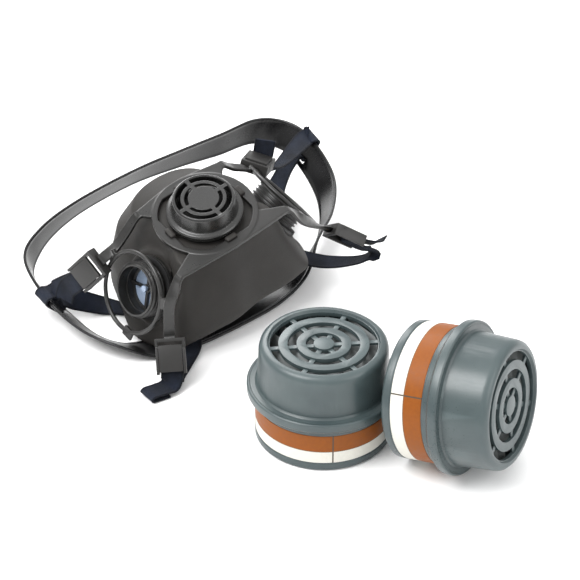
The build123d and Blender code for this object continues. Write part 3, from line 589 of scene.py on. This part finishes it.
centres, along, outward, upward = band_frames(BAND_FINE_STEPS)
cradle = swept("head_cradle_band", centres, upward, outward, band_profile(), closed=True,
               along_mm=np.linspace(0, BAND_UV_SPAN, len(centres)))
for position in (LEFT_LOOP_AT, RIGHT_LOOP_AT):
    i = round(position * BAND_FINE_STEPS)
    cutter = box_cutter(centres[i] - upward[i] * BAND_WIDTH / 4, -along[i], outward[i], upward[i],
                        (SLOT_WIDTH, 12.0, SLOT_HEIGHT))
    cut = cradle.modifiers.new("slot", "BOOLEAN")
    cut.operation = "DIFFERENCE"
    cut.solver = "EXACT"
    cut.object = cutter
    applied(cradle)
    bpy.data.objects.remove(cutter)
shade(cradle, 50)
finish_piece(cradle, "head_cradle", CRADLE)

# ================================================================ straps
def buckle_turn(name, from_tail):
    """Strap rows through a buckle, from the tail or from the load end."""
    origin, x, y, z = buckle_frame(name)
    profile = [(13.5, STRAP_RUN), (8.0, STRAP_RUN)]
    for k in range(1, 6):
        angle = math.pi / 2 + k * math.pi / 6
        profile.append((CROSS_BAR_Y + STRAP_TURN * math.cos(angle), STRAP_TURN * math.sin(angle)))
    profile += [(8.0, -STRAP_RUN), (13.5, -STRAP_RUN)]
    rows = [(*(origin + y * a + z * b), *x) for a, b in profile]
    return rows if from_tail else rows[::-1]


def band_loop(position):
    """Strap rows over the top edge of the band, down outside and back in through its slot."""
    centre_rows, along_rows, _, up_rows = band_frames(BAND_STEPS)
    i = round(position * BAND_STEPS) % len(centre_rows)
    origin, x, z = centre_rows[i], -along_rows[i], up_rows[i]
    y = np.cross(z, x)
    gap = BAND_THICK / 2 + STRAP_THICK / 2 + 0.5
    top, low = BAND_WIDTH / 2, -BAND_WIDTH / 4
    profile = [
        (-gap - 4.0, top - 3.0), (-gap - 1.2, top + 0.8), (0.0, top + 2.6), (gap + 0.8, top + 0.2),
        (gap + 0.8, 0.0), (gap + 0.6, low + 2.4), (0.9, low), (-1.2, low - 0.2), (-gap - 3.0, low + 0.8),
    ]
    return [(*(origin + y * a + z * b), *x) for a, b in profile]


def facing(rows):
    """Turn width directions that would flip the strap over between stations."""
    out = [np.array(rows[0], float)]
    for row in rows[1:]:
        row = np.array(row, float)
        row[3:] = unit(row[3:])
        if out[-1][3:] @ row[3:] < 0:
            row[3:] = -row[3:]
        out.append(row)
    return np.array(out)


def strap_profile():
    """Webbing section: thin, with a fuller stitched border along each edge."""
    half, thick = STRAP_WIDTH / 2, STRAP_THICK / 2
    side = [(half, 0.0), (half - 0.12, 0.36), (half - 0.5, thick), (half - 1.2, thick),
            (half - 1.6, 0.48), (half - 3.6, 0.54)]
    top = side + [(0.0, 0.56)] + [(-x, y) for x, y in side[::-1]]
    return top + [(x, -y) for x, y in top[::-1][1:-1]]


def strap(name, node, rows):
    fine = smooth(facing(rows), 8)
    points = fine[:, :3]
    ahead = np.zeros_like(points)
    ahead[1:-1] = points[2:] - points[:-2]
    ahead[0], ahead[-1] = points[1] - points[0], points[-1] - points[-2]
    normal = np.cross(ahead, fine[:, 3:])
    normal /= np.linalg.norm(normal, axis=1)[:, None]
    flat = np.cross(normal, ahead)
    flat /= np.linalg.norm(flat, axis=1)[:, None]
    obj = swept(name, points, flat, normal, strap_profile())
    shade(obj, 60)
    return finish_piece(obj, node, WEBBING)


strap("left_webbing", "left_strap",
      LEFT_TAIL_UPPER + buckle_turn("upper_left", True) + LEFT_TO_LOOP + band_loop(LEFT_LOOP_AT)
      + LEFT_UNDER + buckle_turn("lower_left", False) + LEFT_TAIL_LOWER)
strap("right_webbing", "right_strap",
      RIGHT_TAIL_UPPER + buckle_turn("upper_right", True) + RIGHT_TO_LOOP + band_loop(RIGHT_LOOP_AT)
      + RIGHT_UNDER + buckle_turn("lower_right", False) + RIGHT_TAIL_LOWER)

# ================================================================ labels
def cartridge_frame(side):
    """Origin and x, y, z directions of a cartridge on the table."""
    if side == "left":
        return np.array(UPRIGHT_CENTRE), np.eye(3)
    tilt = math.atan2(FLANGE_R - BASE_R, BASE_HEIGHT)
    height = BASE_R * math.cos(tilt) - EDGE_ROUND * math.sin(tilt)
    heading = math.radians(LYING_HEADING)
    axis = np.array([math.cos(heading) * math.cos(tilt), math.sin(heading) * math.cos(tilt), math.sin(tilt)])
    x = unit(np.cross((0, 0, 1), axis))
    return np.array([*LYING_BASE, height]), np.array([x, np.cross(axis, x), axis])


def label(side):
    """A thin closed shell round a cartridge, from (distance out, share of its height) rows."""
    origin, (x, y, z) = cartridge_frame(side)
    around = 160
    rows = [(0.0, 0.0), (LABEL_THICK, 0.012), (LABEL_THICK, 0.25), (LABEL_THICK, 0.5),
            (LABEL_THICK, 0.75), (LABEL_THICK, 0.988), (0.0, 1.0)]
    vertices, uv = [], []
    for k in range(around + 1):
        angle = 2 * math.pi * k / around
        for out, share in rows:
            r = LABEL_R + out
            h = LABEL_LOW + (LABEL_HIGH - LABEL_LOW) * share
            p = origin + x * r * math.cos(angle) + y * r * math.sin(angle) + z * h
            vertices.append((p + SHIFT) * MM)
            uv.append((angle * LABEL_R, share))
    faces = []
    ring = len(rows)
    for k in range(around):
        for m in range(ring):
            n = (m + 1) % ring
            faces.append((k * ring + m, (k + 1) * ring + m, (k + 1) * ring + n, k * ring + n))
    obj = mesh_object(f"cartridge_{side}_wrap", vertices, faces, uv)
    bm = bmesh.new()
    bm.from_mesh(obj.data)
    bmesh.ops.remove_doubles(bm, verts=bm.verts, dist=0.000002)
    bmesh.ops.recalc_face_normals(bm, faces=bm.faces)
    bm.to_mesh(obj.data)
    bm.free()
    shade(obj, 40)
    return finish_piece(obj, f"cartridge_{side}_label", LABEL)


for side in ("left", "right"):
    label(side)

# ================================================================ floor, light and camera
FLOOR_HALF = 4.0
HORIZON_GLOW, ZENITH_GLOW = 0.55, 1.5
AZIMUTH, ELEVATION, DISTANCE = math.radians(-36.5), math.radians(34.0), 1.5
LENS = 129.6
TARGET = Vector(SHIFT * MM)

floor_corners = [(x * FLOOR_HALF, y * FLOOR_HALF, 0) for x, y in ((-1, -1), (1, -1), (1, 1), (-1, 1))]
floor = mesh_object("floor", floor_corners, [(0, 1, 2, 3)])
floor_look = Nodes("floor_paper")
floor.data.materials.append(floor_look.set(color=rgb(250, 250, 250), rough=0.9, specular=0.0))

world = bpy.data.worlds.new("studio")
world.use_nodes = True
backdrop = world.node_tree.nodes["Background"]
direction = world.node_tree.nodes.new("ShaderNodeTexCoord").outputs["Generated"]
height = world.node_tree.nodes.new("ShaderNodeSeparateXYZ")
glow = world.node_tree.nodes.new("ShaderNodeMapRange")
world.node_tree.links.new(direction, height.inputs[0])
world.node_tree.links.new(height.outputs["Z"], glow.inputs["Value"])
glow.inputs["To Min"].default_value = HORIZON_GLOW
glow.inputs["To Max"].default_value = ZENITH_GLOW
world.node_tree.links.new(glow.outputs["Result"], backdrop.inputs["Strength"])
backdrop.inputs["Color"].default_value = (1.0, 1.0, 1.0, 1.0)
bpy.context.scene.world = world


def toward(azimuth, elevation):
    """The direction from the target to something at these angles."""
    return Vector((math.sin(azimuth) * math.cos(elevation), -math.cos(azimuth) * math.cos(elevation),
                   math.sin(elevation)))


def area_light(name, azimuth, elevation, distance, size, power):
    data = bpy.data.lights.new(name, "AREA")
    data.shape = "SQUARE"
    data.size = size
    data.energy = power
    lamp = bpy.data.objects.new(name, data)
    lamp.location = TARGET + toward(math.radians(azimuth), math.radians(elevation)) * distance
    lamp.rotation_euler = (TARGET - lamp.location).to_track_quat("-Z", "Y").to_euler()
    bpy.context.scene.collection.objects.link(lamp)


area_light("key", -90, 55, 1.6, 0.8, 22)
area_light("rim", 165, 40, 1.8, 1.0, 20)
area_light("fill", 20, 30, 2.0, 1.2, 10)

camera_data = bpy.data.cameras.new("camera")
camera_data.lens = LENS
camera_data.sensor_width = 36.0
bpy.context.scene.view_settings.view_transform = "Standard"
camera = bpy.data.objects.new("camera", camera_data)
camera.location = TARGET + toward(AZIMUTH, ELEVATION) * DISTANCE
camera.rotation_euler = (TARGET - camera.location).to_track_quat("-Z", "Y").to_euler()
bpy.context.scene.collection.objects.link(camera)
bpy.context.scene.camera = camera
